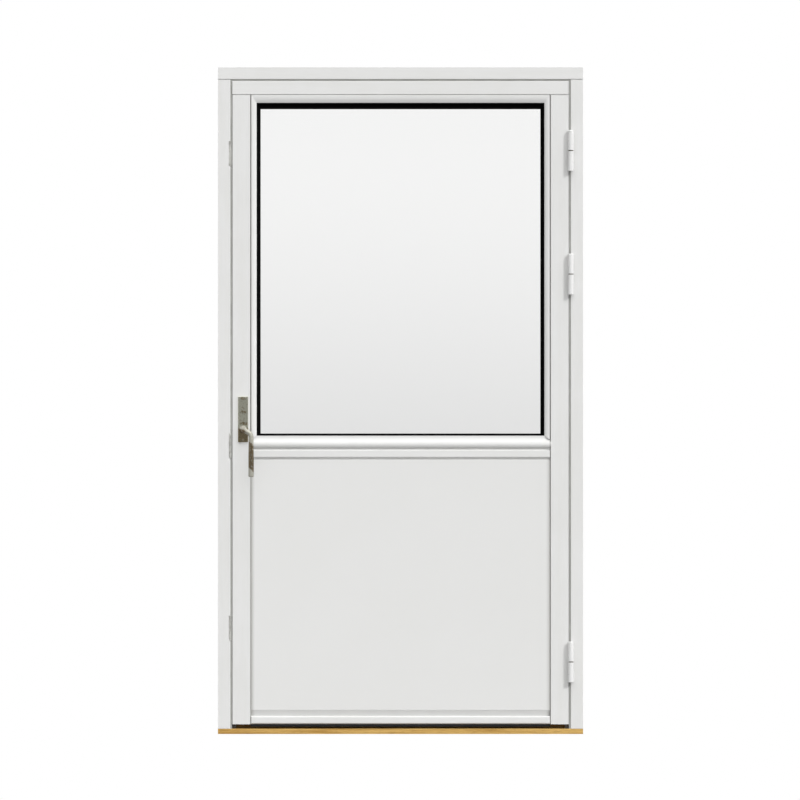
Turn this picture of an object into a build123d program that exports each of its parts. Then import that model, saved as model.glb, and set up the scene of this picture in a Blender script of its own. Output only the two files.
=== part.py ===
from build123d import *
import math
import os

# Inward-opening balcony door, seen from the room: hinges on the right, handle on the left.
# X runs right, Y from the room outwards and Z up. The origin is the centre of the threshold's
# underside, midway through the depth of the frame. All sizes are in millimetres.

# Overall sizes
frame_width = 1090
frame_height = 1990
frame_depth = 105

# Frame timbers
jamb_face = 37
head_face = 35.5
stop_depth = 43
stop_projection = 18
threshold_height = 16
upstand_height = 26
upstand_fall = 10
arris = 1.2
joint_width = 1.5
joint_depth = 4

# Leaf timbers
side_gap = 6
top_gap = 5
bottom_gap = 13
seal_gap = 4
stile_face = 55
vee_width = 1.8
vee_depth = 6
top_rail_face = 40.5
lip_width = 17.5
top_lip_width = 25
lip_depth = 11
lip_fall = 6
lock_edge_bevel = 3
lock_edge_flat = 28.5

# Middle rail and the beads round the glass
sight_bottom = 890.5
bead_height = 44
glass_seat_drop = 22.5
band_height = 21
band_round = 1.5
band_cove_depth = 9
band_arris = 2
band_quirk = 6
rail_below_band = 41
bead_depth = 13
bead_flat = 3
bead_edge = 6.5
bead_quirk_height = 9
bead_quirk_depth = 7
cove_setback = 5.5
cove_hollow = 3
nose_height = 16.5
nose_middle = 9
nose_proud = 2.5
nose_start = 0.5
nose_return = 1.5
nose_overlap = 3
side_bead_scribe = 12.5

# Glass unit
pane_thickness = 4
cavity = 20
seal_thickness = 3
glass_clearance = 4
spacer_show_side = 12
spacer_show_top = 19
spacer_show_bottom = 6.5
seal_lip = 1
block_length = 100
block_spacing = 640

# Panel and bottom rail
panel_thickness = 18
panel_setback = 3
panel_side_round = 6
panel_side_drop = 1.5
panel_top_round = 1
panel_bevel = 18
panel_bevel_drop = 8
strip_height = 24
strip_round = 5
strip_chamfer = 3
rail_lift = 1
bottom_rail_height = 112
bottom_seal_height = 7.5
bottom_seal_depth = 12
bottom_seal_back = 4

# Weather bar on the outside
weather_bar_length = 960
weather_bar_height = 34
weather_bar_projection = 35
weather_bar_lift = 31
weather_bar_nose = 10
drip_width = 5

# Seal in the rebate of the frame
seal_width = 6
seal_clearance = 0.3
seal_inset = 2

# Pale draught strip just behind the face of the frame
strip_setback = 2.5
strip_width = 3
strip_clearance = 1

# Lift-off hinges
hinge_height = 122
knuckle_radius = 8.5
knuckle_gap = 2
hinge_outset = 1
pin_radius = 4.5
pin_clearance = 0.05
pin_length = 31
split_gap = 3
shoulder_radius = 5.5
shoulder_clearance = 0.3
flap_thickness = 2.5
flap_depth = 32.5
flap_margin = 2
cap_height = 8
cap_bevel = 2.5
cap_groove_height = 2
cap_groove_depth = 1
foot_bevel = 1
cap_step = 0.6
hinge_below_top = 207.5
second_hinge_spacing = 369
bottom_hinge_height = 186

# Keeps in the lock jamb and the lock rail in the leaf
keep_height = 74
keep_lip = 4.5
keep_leg = 30
keep_thickness = 3
bolt_slot_height = 44
bolt_slot_width = 11
bolt_pocket_depth = 18
keep_below_top = 216.5
middle_keep_below_spindle = 49
bottom_keep_height = 287
faceplate_width = 18
faceplate_thickness = 2.5
faceplate_margin = 60
faceplate_setback = 6.5
bolt_height = 32
bolt_width = 8
bolt_length = 14
case_height = 170
case_thickness = 14
case_depth = 45
case_above_spindle = 60

# Handle
handle_backset = 32
spindle_height = 909
plate_width = 30
plate_height = 136
plate_thickness = 8
plate_below_spindle = 38
plate_corner = 2
plate_edge = 1
hub_radius = 8
hub_clearance = 0.05
hub_seat = 6
collar_radius = 11
collar_height = 6
collar_bevel = 1.5
collar_clearance = 0.5
lever_reach = 40
lever_crank = 24
lever_drop = 14
lever_length = 142
lever_bend = 12
grip_width = 16
grip_depth = 12
spindle_side = 7
spindle_hole_radius = 6
spindle_end_clearance = 2

# Holes for frame screws
frame_screw_radius = 7
frame_screw_depth = 44.5
frame_screw_end = 104
frame_screw_count = 4

# Places worked out from the sizes above
half_width = frame_width / 2
front = -frame_depth / 2
back = frame_depth / 2
rebate_x = half_width - jamb_face
stop_x = rebate_x - stop_projection
stop_front = back - stop_depth
head_underside = frame_height - head_face
leaf_x = rebate_x - side_gap
leaf_top = head_underside - top_gap
leaf_bottom = threshold_height + bottom_gap
leaf_back = stop_front - seal_gap
stile_x = leaf_x - stile_face
sight_x = stile_x - lip_width
top_rail_bottom = leaf_top - top_rail_face
sight_top = top_rail_bottom - top_lip_width
lip_front = leaf_back - lip_depth
bead_back = front + bead_depth
top_bead_flat = bead_flat * top_lip_width / lip_width
glass_front = bead_back + seal_thickness
glass_back = glass_front + 2 * pane_thickness + cavity
glass_x = stile_x - glass_clearance
glass_top = top_rail_bottom - glass_clearance
seat_z = sight_bottom - glass_seat_drop
glass_bottom = seat_z + glass_clearance
bead_seat = sight_bottom - bead_height
band_bottom = bead_seat - band_height
panel_top = band_bottom - band_quirk
panel_front = front + panel_setback
panel_back = panel_front + panel_thickness
rail_bottom = panel_top - rail_below_band
rail_underside = leaf_bottom + rail_lift
strip_top = rail_underside + strip_height
bottom_rail_top = rail_underside + bottom_rail_height
core_back = leaf_back - panel_thickness
hinge_x = rebate_x + hinge_outset
hinge_y = front - knuckle_gap - knuckle_radius
hinge_heights = {
    "upper": leaf_top - hinge_below_top,
    "middle": leaf_top - hinge_below_top - second_hinge_spacing,
    "lower": leaf_bottom + bottom_hinge_height,
}
keep_heights = {
    "upper": leaf_top - keep_below_top,
    "middle": spindle_height - middle_keep_below_spindle,
    "lower": leaf_bottom + bottom_keep_height,
}
keep_x = -rebate_x + keep_thickness
plate_y = front + faceplate_setback + faceplate_width / 2
spindle_x = -leaf_x + handle_backset
handle_front = front - plate_thickness
screw_y = front + frame_screw_depth
screw_low = threshold_height + frame_screw_end
screw_step = (head_underside - frame_screw_end - screw_low) / (frame_screw_count - 1)
frame_screw_heights = [screw_low + i * screw_step for i in range(frame_screw_count)]

os.makedirs("parts", exist_ok=True)


def block(x_from, x_to, y_from, y_to, z_from, z_to, mode=Mode.ADD):
    """A rectangular block between six planes, added to or cut from the piece in hand."""
    with BuildSketch(Plane.XY.offset(z_from)) as base:
        with Locations(((x_from + x_to) / 2, (y_from + y_to) / 2)):
            Rectangle(abs(x_to - x_from), abs(y_to - y_from))
    extrude(base.sketch, amount=z_to - z_from, mode=mode)


def frame_ring(inner, outer, y_from, y_to):
    """A picture-frame ring; inner and outer give its half width, bottom and top."""
    with BuildSketch(Plane.XZ.offset(-y_from)) as ring:
        for half, bottom, top, mode in (outer + (Mode.ADD,), inner + (Mode.SUBTRACT,)):
            with Locations((0, (bottom + top) / 2)):
                Rectangle(2 * half, top - bottom, mode=mode)
    extrude(ring.sketch, amount=y_from - y_to)


# The threshold: an oak board as wide as the frame, with an upstand behind the leaf
with BuildPart() as threshold:
    with BuildSketch(Plane.YZ) as board:
        with BuildLine():
            Polyline(
                (front, 0),
                (back, 0),
                (back, threshold_height),
                (front + arris, threshold_height),
                (front, threshold_height - arris),
                close=True,
            )
        make_face()
    extrude(amount=half_width, both=True)
    with BuildSketch(Plane.YZ) as upstand:
        with BuildLine():
            Polyline(
                (stop_front, threshold_height),
                (back, threshold_height),
                (back, threshold_height + upstand_height - upstand_fall),
                (stop_front + 2 * arris, threshold_height + upstand_height),
                (stop_front, threshold_height + upstand_height - 2 * arris),
                close=True,
            )
        make_face()
    extrude(amount=stop_x, both=True)
threshold.part.label = "threshold"
export_step(threshold.part, "parts/threshold.step")


def jamb(side):
    """One jamb, rebated for the leaf; side is +1 for the hinge side and -1 for the lock side."""
    with BuildPart() as post:
        with BuildSketch(Plane.XY.offset(threshold_height)):
            with BuildLine():
                Polyline(
                    (side * half_width, front),
                    (side * (rebate_x + arris), front),
                    (side * rebate_x, front + arris),
                    (side * rebate_x, stop_front),
                    (side * stop_x, stop_front),
                    (side * stop_x, back - arris),
                    (side * (stop_x + arris), back),
                    (side * half_width, back),
                    close=True,
                )
            make_face()
        extrude(amount=head_underside - threshold_height)
        block(
            side * rebate_x, side * half_width, front, front + joint_depth,
            head_underside - joint_width, head_underside, Mode.SUBTRACT,
        )
        with BuildSketch(Plane.YZ.offset(side * (stop_x - 1))) as screws:
            with Locations([(screw_y, z) for z in frame_screw_heights]):
                Circle(frame_screw_radius)
        extrude(screws.sketch, amount=side * (jamb_face + stop_projection + 2), mode=Mode.SUBTRACT)
    return post


# The hinge jamb has three mortises that let the flaps in flush
hinge_jamb = jamb(1)
with hinge_jamb:
    for z in hinge_heights.values():
        block(
            rebate_x, rebate_x + flap_thickness, front, front + flap_depth,
            z - hinge_height / 2 + flap_margin, z - split_gap / 2, Mode.SUBTRACT,
        )
hinge_jamb.part.label = "hinge_jamb"
export_step(hinge_jamb.part, "parts/hinge_jamb.step")

# The lock jamb is let in for the keeps, with a pocket behind each slot
lock_jamb = jamb(-1)
with lock_jamb:
    for z in keep_heights.values():
        low, high = z - keep_height / 2, z + keep_height / 2
        block(
            -rebate_x - keep_lip, -rebate_x, front, front + keep_thickness,
            low, high, Mode.SUBTRACT,
        )
        block(
            -rebate_x - bolt_pocket_depth, -rebate_x,
            plate_y - bolt_slot_width / 2, plate_y + bolt_slot_width / 2,
            z - bolt_slot_height / 2, z + bolt_slot_height / 2, Mode.SUBTRACT,
        )
lock_jamb.part.label = "lock_jamb"
export_step(lock_jamb.part, "parts/lock_jamb.step")

# The head lies across both jambs and carries its own stop
with BuildPart() as frame_head:
    block(-half_width, half_width, front, back, head_underside, frame_height)
    low_front = frame_head.edges().filter_by(Axis.X).group_by(Axis.Z)[0].sort_by(Axis.Y)[0]
    chamfer(low_front, arris)
    block(-stop_x, stop_x, stop_front, back, head_underside - stop_projection, head_underside)
frame_head.part.label = "frame_head"
export_step(frame_head.part, "parts/frame_head.step")

# The rubber seal lies on the stops and on the face of the upstand
with BuildPart() as frame_seal:
    seal_half = leaf_x - seal_inset
    seal_low = rail_underside + seal_inset
    seal_high = leaf_top - seal_inset
    frame_ring(
        (seal_half - seal_width, seal_low + seal_width, seal_high - seal_width),
        (seal_half, seal_low, seal_high),
        leaf_back + seal_clearance, stop_front,
    )
    fillet(frame_seal.faces().sort_by(Axis.Y)[0].edges(), 1.2)
frame_seal.part.label = "frame_seal"
export_step(frame_seal.part, "parts/frame_seal.step")


# The draught strip runs up one jamb, under the head and down the other; the keeps interrupt it
with BuildPart() as draught_strip:
    strip_y = front + strip_setback
    for side in (-1, 1):
        block(
            side * (leaf_x + strip_clearance), side * rebate_x, strip_y, strip_y + strip_width,
            threshold_height, head_underside,
        )
    block(
        -rebate_x, rebate_x, strip_y, strip_y + strip_width,
        leaf_top + strip_clearance, head_underside,
    )
    for z in keep_heights.values():
        block(
            -rebate_x, keep_x, front, front + keep_leg,
            z - keep_height / 2, z + keep_height / 2, Mode.SUBTRACT,
        )
draught_strip.part.label = "draught_strip"
export_step(draught_strip.part, "parts/draught_strip.step")


def keep(z):
    """An angle plate round the arris of the lock jamb, slotted for a hook bolt."""
    with BuildPart() as plate:
        low, high = z - keep_height / 2, z + keep_height / 2
        block(-rebate_x - keep_lip, keep_x, front, front + keep_thickness, low, high)
        block(-rebate_x, keep_x, front, front + keep_leg, low, high)
        block(
            -rebate_x, keep_x,
            plate_y - bolt_slot_width / 2, plate_y + bolt_slot_width / 2,
            z - bolt_slot_height / 2, z + bolt_slot_height / 2, Mode.SUBTRACT,
        )
    return plate


for place, z in keep_heights.items():
    plate = keep(z)
    plate.part.label = f"{place}_keep"
    export_step(plate.part, f"parts/{place}_keep.step")


# Leaf: both stiles run from the foot of the leaf to the top rail
def stile(side):
    """One stile with its lip; its inner front edge makes half of a vee with what it meets."""
    with BuildPart() as post:
        with BuildSketch(Plane.XY.offset(leaf_bottom)) as plan:
            with BuildLine():
                Polyline(
                    (side * (leaf_x - arris), front),
                    (side * leaf_x, front + arris),
                    (side * leaf_x, leaf_back - arris),
                    (side * (leaf_x - arris), leaf_back),
                    (side * stile_x, leaf_back),
                    (side * stile_x, front + vee_depth),
                    (side * (stile_x + vee_width), front),
                    close=True,
                )
            make_face()
        extrude(plan.sketch, amount=top_rail_bottom - leaf_bottom)
        block(
            side * stile_x, side * leaf_x, front, front + joint_depth,
            top_rail_bottom - joint_width, top_rail_bottom, Mode.SUBTRACT,
        )
        block(side * sight_x, side * stile_x, lip_front, leaf_back, seat_z, top_rail_bottom)
    return post


hinge_stile = stile(1)
with hinge_stile:
    for z in hinge_heights.values():
        block(
            leaf_x - flap_thickness, leaf_x, front, front + flap_depth,
            z + split_gap / 2, z + hinge_height / 2 - flap_margin, Mode.SUBTRACT,
        )
hinge_stile.part.label = "hinge_stile"
export_step(hinge_stile.part, "parts/hinge_stile.step")

# The lock stile is bevelled behind the lock rail, so that its back corner swings past the jamb
faceplate_low = keep_heights["lower"] - keep_height / 2 - faceplate_margin
faceplate_high = keep_heights["upper"] + keep_height / 2 + faceplate_margin
faceplate_front = plate_y - faceplate_width / 2
faceplate_back = plate_y + faceplate_width / 2
case_low = spindle_height + case_above_spindle - case_height
case_high = spindle_height + case_above_spindle
lock_stile = stile(-1)
with lock_stile:
    with BuildSketch(Plane.XY.offset(leaf_bottom)) as bevel:
        with BuildLine():
            Polyline(
                (-leaf_x, front + lock_edge_flat),
                (-leaf_x, leaf_back),
                (-leaf_x + lock_edge_bevel, leaf_back),
                close=True,
            )
        make_face()
    extrude(bevel.sketch, amount=top_rail_bottom - leaf_bottom, mode=Mode.SUBTRACT)
    block(
        -leaf_x, -leaf_x + faceplate_thickness, faceplate_front, faceplate_back,
        faceplate_low, faceplate_high, Mode.SUBTRACT,
    )
    block(
        -leaf_x, -leaf_x + case_depth, plate_y - case_thickness / 2,
        plate_y + case_thickness / 2, case_low, case_high, Mode.SUBTRACT,
    )
    for z in keep_heights.values():
        block(
            -leaf_x, -leaf_x + bolt_length, plate_y - bolt_width / 2,
            plate_y + bolt_width / 2, z - bolt_height / 2, z + bolt_height / 2,
            Mode.SUBTRACT,
        )
    with BuildSketch(Plane.XZ.offset(-front)) as spindle_hole:
        with Locations((spindle_x, spindle_height)):
            Circle(spindle_hole_radius)
    extrude(spindle_hole.sketch, amount=front - plate_y, mode=Mode.SUBTRACT)
lock_stile.part.label = "lock_stile"
export_step(lock_stile.part, "parts/lock_stile.step")

# The top rail lies across both stiles, with its lip between theirs
with BuildPart() as top_rail:
    block(-leaf_x, leaf_x, front, leaf_back, top_rail_bottom, leaf_top)
    face_edges = top_rail.edges().filter_by(Axis.X).group_by(Axis.Y)[0]
    chamfer(face_edges, arris)
    with BuildSketch(Plane.XY.offset(top_rail_bottom)) as bevel:
        with BuildLine():
            Polyline(
                (-leaf_x, front + lock_edge_flat),
                (-leaf_x, leaf_back),
                (-leaf_x + lock_edge_bevel, leaf_back),
                close=True,
            )
        make_face()
    extrude(bevel.sketch, amount=top_rail_face, mode=Mode.SUBTRACT)
    block(-sight_x, sight_x, lip_front, leaf_back, sight_top, top_rail_bottom)
top_rail.part.label = "top_rail"
export_step(top_rail.part, "parts/top_rail.step")

# The middle rail: a band on the face, a seat for the glass and a lip that sheds water outside
with BuildPart() as middle_rail:
    with BuildSketch(Plane.YZ) as body:
        with BuildLine():
            Polyline(
                (panel_back, rail_bottom),
                (panel_back, panel_top),
                (front + band_cove_depth, panel_top),
                (front + band_arris, band_bottom),
                (front, band_bottom + band_arris),
                (front, bead_seat - band_round),
            )
            RadiusArc((front, bead_seat - band_round), (front + band_round, bead_seat), band_round)
            Polyline(
                (front + band_round, bead_seat),
                (bead_back, bead_seat),
                (bead_back, seat_z),
                (leaf_back, seat_z),
                (leaf_back, rail_bottom),
                (panel_back, rail_bottom),
            )
        make_face()
    extrude(amount=stile_x, both=True)
    with BuildSketch(Plane.YZ) as lip:
        with BuildLine():
            Polyline(
                (lip_front, seat_z),
                (lip_front, sight_bottom),
                (leaf_back, sight_bottom - lip_fall),
                (leaf_back, seat_z),
                close=True,
            )
        make_face()
    extrude(amount=sight_x, both=True)
middle_rail.part.label = "middle_rail"
export_step(middle_rail.part, "parts/middle_rail.step")

# The bottom rail stands behind the strip and the panel
with BuildPart() as bottom_rail:
    block(-stile_x, stile_x, panel_back, leaf_back, rail_underside, bottom_rail_top)
bottom_rail.part.label = "bottom_rail"
export_step(bottom_rail.part, "parts/bottom_rail.step")


def rounded_plan(face, rear, z):
    """Plan of a board between the stiles whose side edges fall away in a soft round."""
    shoulder = face + math.copysign(panel_side_drop, rear - face)
    with BuildSketch(Plane.XY.offset(z)) as plan:
        with BuildLine():
            for side in (-1, 1):
                Line((side * stile_x, rear), (side * stile_x, shoulder))
                TangentArc(
                    (side * (stile_x - panel_side_round), face),
                    (side * stile_x, shoulder),
                    tangent=(side, 0),
                )
            Line((-stile_x + panel_side_round, face), (stile_x - panel_side_round, face))
            Line((-stile_x, rear), (stile_x, rear))
        make_face()
    return plan.sketch


def panel(face, into, low, high):
    """A raised board: rounded at its sides and top, with a wide bevel along its foot."""
    with BuildPart() as board:
        extrude(rounded_plan(face, face + into * panel_thickness, low), amount=high - low)
        with BuildSketch(Plane.YZ) as section:
            with BuildLine():
                Polyline(
                    (face, high - panel_top_round),
                    (face, low + panel_bevel),
                    (face + into * panel_bevel_drop, low),
                    (face + into * panel_thickness, low),
                    (face + into * panel_thickness, high),
                    (face + into * panel_top_round, high),
                )
                RadiusArc(
                    (face, high - panel_top_round),
                    (face + into * panel_top_round, high),
                    into * panel_top_round,
                )
            make_face()
        extrude(section.sketch, amount=stile_x, both=True, mode=Mode.INTERSECT)
    return board


inner_panel = panel(panel_front, 1, strip_top, panel_top)
inner_panel.part.label = "inner_panel"
export_step(inner_panel.part, "parts/inner_panel.step")

outer_panel = panel(leaf_back, -1, bottom_rail_top, rail_bottom)
outer_panel.part.label = "outer_panel"
export_step(outer_panel.part, "parts/outer_panel.step")

# The insulating board between the two panels
with BuildPart() as panel_core:
    block(-stile_x, stile_x, panel_back, core_back, bottom_rail_top, rail_bottom)
panel_core.part.label = "panel_core"
export_step(panel_core.part, "parts/panel_core.step")

# The strip below the panel, rounded along its top
with BuildPart() as bottom_strip:
    extrude(rounded_plan(front, panel_back, rail_underside), amount=strip_height)
    with BuildSketch(Plane.YZ) as section:
        with BuildLine():
            Polyline(
                (front, strip_top - strip_round),
                (front, rail_underside + strip_chamfer),
                (front + strip_chamfer, rail_underside),
                (panel_back, rail_underside),
                (panel_back, strip_top),
                (front + strip_round, strip_top),
            )
            RadiusArc(
                (front, strip_top - strip_round), (front + strip_round, strip_top), strip_round
            )
        make_face()
    extrude(section.sketch, amount=stile_x, both=True, mode=Mode.INTERSECT)
bottom_strip.part.label = "bottom_strip"
export_step(bottom_strip.part, "parts/bottom_strip.step")

# The rubber seal under the strip, between the stiles
with BuildPart() as bottom_seal:
    seal_y = front + bottom_seal_back
    block(
        -stile_x, stile_x, seal_y, seal_y + bottom_seal_depth,
        rail_underside - bottom_seal_height, rail_underside,
    )
bottom_seal.part.label = "bottom_seal"
export_step(bottom_seal.part, "parts/bottom_seal.step")

# The weather bar throws water clear of the threshold; its underside has a drip groove
with BuildPart() as weather_bar:
    bar_low = rail_underside + weather_bar_lift
    bar_nose = leaf_back + weather_bar_projection
    with BuildSketch(Plane.YZ) as section:
        with BuildLine():
            Polyline(
                (leaf_back, bar_low),
                (leaf_back, bar_low + weather_bar_height),
                (bar_nose, bar_low + weather_bar_nose),
                (bar_nose, bar_low),
                (bar_nose - drip_width, bar_low),
                (bar_nose - drip_width, bar_low + drip_width / 2),
                (bar_nose - 2 * drip_width, bar_low + drip_width / 2),
                (bar_nose - 2 * drip_width, bar_low),
                close=True,
            )
        make_face()
    extrude(amount=weather_bar_length / 2, both=True)
weather_bar.part.label = "weather_bar"
export_step(weather_bar.part, "parts/weather_bar.step")


# Glazing beads: ovolo mouldings mitred at the top and scribed to the nosing at the bottom
def side_bead(side):
    """An upright bead, cut to its mitres."""
    outer, inner = side * stile_x, side * sight_x
    with BuildPart() as bead:
        with BuildSketch(Plane.XY.offset(bead_seat)) as section:
            with BuildLine():
                Polyline(
                    (inner, bead_back),
                    (outer, bead_back),
                    (outer, front + vee_depth),
                    (outer - side * vee_width, front),
                    (outer - side * bead_flat, front),
                )
                TangentArc(
                    (outer - side * bead_flat, front),
                    (inner, bead_back - bead_edge),
                    tangent=(-side, 0),
                )
                Line((inner, bead_back - bead_edge), (inner, bead_back))
            make_face()
        extrude(section.sketch, amount=top_rail_bottom - bead_seat)
        with BuildSketch(Plane.XZ) as mitres:
            with BuildLine():
                Polyline(
                    (side * stile_x, top_rail_bottom),
                    (side * sight_x, sight_top),
                    (side * sight_x, sight_bottom),
                    (side * stile_x, sight_bottom - side_bead_scribe),
                    close=True,
                )
            make_face()
        extrude(mitres.sketch, amount=frame_depth, both=True, mode=Mode.INTERSECT)
    return bead


for place, side in (("hinge_side", 1), ("lock_side", -1)):
    bead = side_bead(side)
    bead.part.label = f"{place}_bead"
    export_step(bead.part, f"parts/{place}_bead.step")

with BuildPart() as top_bead:
    with BuildSketch(Plane.YZ) as section:
        with BuildLine():
            Polyline(
                (bead_back, sight_top),
                (bead_back, top_rail_bottom),
                (front + vee_depth, top_rail_bottom),
                (front, top_rail_bottom - vee_width),
                (front, top_rail_bottom - top_bead_flat),
            )
            TangentArc(
                (front, top_rail_bottom - top_bead_flat),
                (bead_back - bead_edge, sight_top),
                tangent=(0, -1),
            )
            Line((bead_back - bead_edge, sight_top), (bead_back, sight_top))
        make_face()
    extrude(amount=stile_x, both=True)
    with BuildSketch(Plane.XZ) as mitres:
        with BuildLine():
            Polyline(
                (-stile_x, top_rail_bottom),
                (stile_x, top_rail_bottom),
                (sight_x, sight_top),
                (-sight_x, sight_top),
                close=True,
            )
        make_face()
    extrude(mitres.sketch, amount=frame_depth, both=True, mode=Mode.INTERSECT)
top_bead.part.label = "top_bead"
export_step(top_bead.part, "parts/top_bead.step")

# The bottom bead is a nosing: under the glass it hollows out to a round nose over a quirk
with BuildPart() as bottom_bead:
    nose_front = front - nose_proud
    nose_low = bead_seat + bead_quirk_height
    with BuildSketch(Plane.YZ) as section:
        with BuildLine():
            Polyline(
                (bead_back, bead_seat),
                (bead_back, sight_bottom),
                (front + cove_setback, sight_bottom),
            )
            SagittaArc(
                (front + cove_setback, sight_bottom),
                (front - nose_start, nose_low + nose_height),
                cove_hollow,
            )
            ThreePointArc(
                (front - nose_start, nose_low + nose_height),
                (nose_front, nose_low + nose_middle),
                (front + nose_return, nose_low),
            )
            Polyline(
                (front + nose_return, nose_low),
                (front + bead_quirk_depth, nose_low),
                (front + bead_quirk_depth, bead_seat),
                (bead_back, bead_seat),
            )
        make_face()
    extrude(amount=stile_x + nose_overlap, both=True)
    for side in (-1, 1):
        block(
            side * stile_x, side * (stile_x + nose_overlap + 1), front, bead_back,
            bead_seat, sight_bottom, Mode.SUBTRACT,
        )
    with BuildSketch(Plane.XZ) as scribe:
        with BuildLine():
            Polyline(
                (-stile_x - nose_overlap, bead_seat),
                (stile_x + nose_overlap, bead_seat),
                (stile_x + nose_overlap, sight_bottom - side_bead_scribe),
                (stile_x, sight_bottom - side_bead_scribe),
                (sight_x, sight_bottom),
                (-sight_x, sight_bottom),
                (-stile_x, sight_bottom - side_bead_scribe),
                (-stile_x - nose_overlap, sight_bottom - side_bead_scribe),
                close=True,
            )
        make_face()
    extrude(scribe.sketch, amount=frame_depth, both=True, mode=Mode.INTERSECT)
bottom_bead.part.label = "bottom_bead"
export_step(bottom_bead.part, "parts/bottom_bead.step")

# The sealed unit: two panes, the spacer between them, and the seals on both sides
glass_outline = (glass_x, glass_bottom, glass_top)
seal_outline = (sight_x - seal_lip, sight_bottom + seal_lip, sight_top - seal_lip)
spacer_outline = (
    sight_x - spacer_show_side, sight_bottom + spacer_show_bottom, sight_top - spacer_show_top
)

for place, pane_front in (
    ("inner", glass_front),
    ("outer", glass_back - pane_thickness),
):
    with BuildPart() as pane:
        block(
            -glass_x, glass_x, pane_front, pane_front + pane_thickness,
            glass_bottom, glass_top,
        )
    pane.part.label = f"{place}_pane"
    export_step(pane.part, f"parts/{place}_pane.step")

with BuildPart() as spacer:
    frame_ring(
        spacer_outline, glass_outline,
        glass_front + pane_thickness, glass_back - pane_thickness,
    )
spacer.part.label = "spacer"
export_step(spacer.part, "parts/spacer.step")

with BuildPart() as bead_seal:
    frame_ring(seal_outline, glass_outline, bead_back, glass_front)
bead_seal.part.label = "bead_seal"
export_step(bead_seal.part, "parts/bead_seal.step")

with BuildPart() as glazing_tape:
    frame_ring(seal_outline, glass_outline, glass_back, lip_front)
glazing_tape.part.label = "glazing_tape"
export_step(glazing_tape.part, "parts/glazing_tape.step")

with BuildPart() as setting_blocks:
    for x in (-block_spacing / 2, block_spacing / 2):
        block(
            x - block_length / 2, x + block_length / 2, glass_front, glass_back,
            seat_z, glass_bottom,
        )
setting_blocks.part.label = "setting_blocks"
export_step(setting_blocks.part, "parts/setting_blocks.step")


# Lift-off hinges: the leaf's knuckle drops over a pin in the frame's knuckle
def round_bar(radius, z_from, z_to, mode=Mode.ADD):
    """A round bar on the hinges' axis, added to or cut from the piece in hand."""
    with BuildSketch(Plane.XY.offset(z_from)) as disc:
        with Locations((hinge_x, hinge_y)):
            Circle(radius)
    extrude(disc.sketch, amount=z_to - z_from, mode=mode)


def leaf_knuckle(z):
    """The upper half: a barrel under a groove and a cap, its flap and a bore for the pin."""
    with BuildPart() as half:
        low, high = z + split_gap / 2, z + hinge_height / 2
        groove_low = high - cap_height
        groove_high = groove_low + cap_groove_height
        round_bar(knuckle_radius, low, groove_low)
        round_bar(knuckle_radius - cap_groove_depth, groove_low, groove_high)
        round_bar(knuckle_radius - cap_step, groove_high, high)
        chamfer(half.edges().sort_by(Axis.Z)[-1], cap_bevel)
        block(
            leaf_x - flap_thickness, leaf_x, hinge_y, front + flap_depth,
            low, high - flap_margin,
        )
        round_bar(pin_radius + pin_clearance, low, low + pin_length + 1, Mode.SUBTRACT)
    return half


def frame_knuckle(z):
    """The lower half, with its flap let into the jamb, its pin and the shoulder that bears."""
    with BuildPart() as half:
        low, high = z - hinge_height / 2, z - split_gap / 2
        round_bar(knuckle_radius, low, high)
        chamfer(half.edges().sort_by(Axis.Z)[0], foot_bevel)
        block(
            rebate_x, rebate_x + flap_thickness, hinge_y, front + flap_depth,
            low + flap_margin, high,
        )
        round_bar(shoulder_radius, high, z + split_gap / 2 - shoulder_clearance)
        round_bar(pin_radius, high, z + split_gap / 2 + pin_length - 1)
    return half


for place, z in hinge_heights.items():
    half = leaf_knuckle(z)
    half.part.label = f"{place}_hinge_leaf_half"
    export_step(half.part, f"parts/{place}_hinge_leaf_half.step")
    half = frame_knuckle(z)
    half.part.label = f"{place}_hinge_pin_half"
    export_step(half.part, f"parts/{place}_hinge_pin_half.step")

# The lock rail: a faceplate flush with the edge of the leaf, with a slot at each keep
with BuildPart() as lock_rail:
    block(
        -leaf_x, -leaf_x + faceplate_thickness, faceplate_front, faceplate_back,
        faceplate_low, faceplate_high,
    )
    for z in keep_heights.values():
        block(
            -leaf_x, -leaf_x + faceplate_thickness, plate_y - bolt_width / 2,
            plate_y + bolt_width / 2, z - bolt_height / 2, z + bolt_height / 2,
            Mode.SUBTRACT,
        )
lock_rail.part.label = "lock_rail"
export_step(lock_rail.part, "parts/lock_rail.step")

# The case behind it, bored for the spindle and open for the middle bolt
with BuildPart() as lock_case:
    block(
        -leaf_x + faceplate_thickness, -leaf_x + case_depth,
        plate_y - case_thickness / 2, plate_y + case_thickness / 2, case_low, case_high,
    )
    middle_z = keep_heights["middle"]
    block(
        -leaf_x, -leaf_x + bolt_length, plate_y - bolt_width / 2, plate_y + bolt_width / 2,
        middle_z - bolt_height / 2, middle_z + bolt_height / 2, Mode.SUBTRACT,
    )
    with BuildSketch(Plane.XZ.offset(-front)) as spindle_hole:
        with Locations((spindle_x, spindle_height)):
            Circle(spindle_hole_radius)
    extrude(spindle_hole.sketch, amount=-frame_depth, mode=Mode.SUBTRACT)
lock_case.part.label = "lock_case"
export_step(lock_case.part, "parts/lock_case.step")

# Hook bolts, drawn back so that their ends lie flush in the slots
for place, z in keep_heights.items():
    with BuildPart() as bolt:
        block(
            -leaf_x, -leaf_x + bolt_length, plate_y - bolt_width / 2,
            plate_y + bolt_width / 2, z - bolt_height / 2, z + bolt_height / 2,
        )
    bolt.part.label = f"{place}_hook_bolt"
    export_step(bolt.part, f"parts/{place}_hook_bolt.step")

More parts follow.
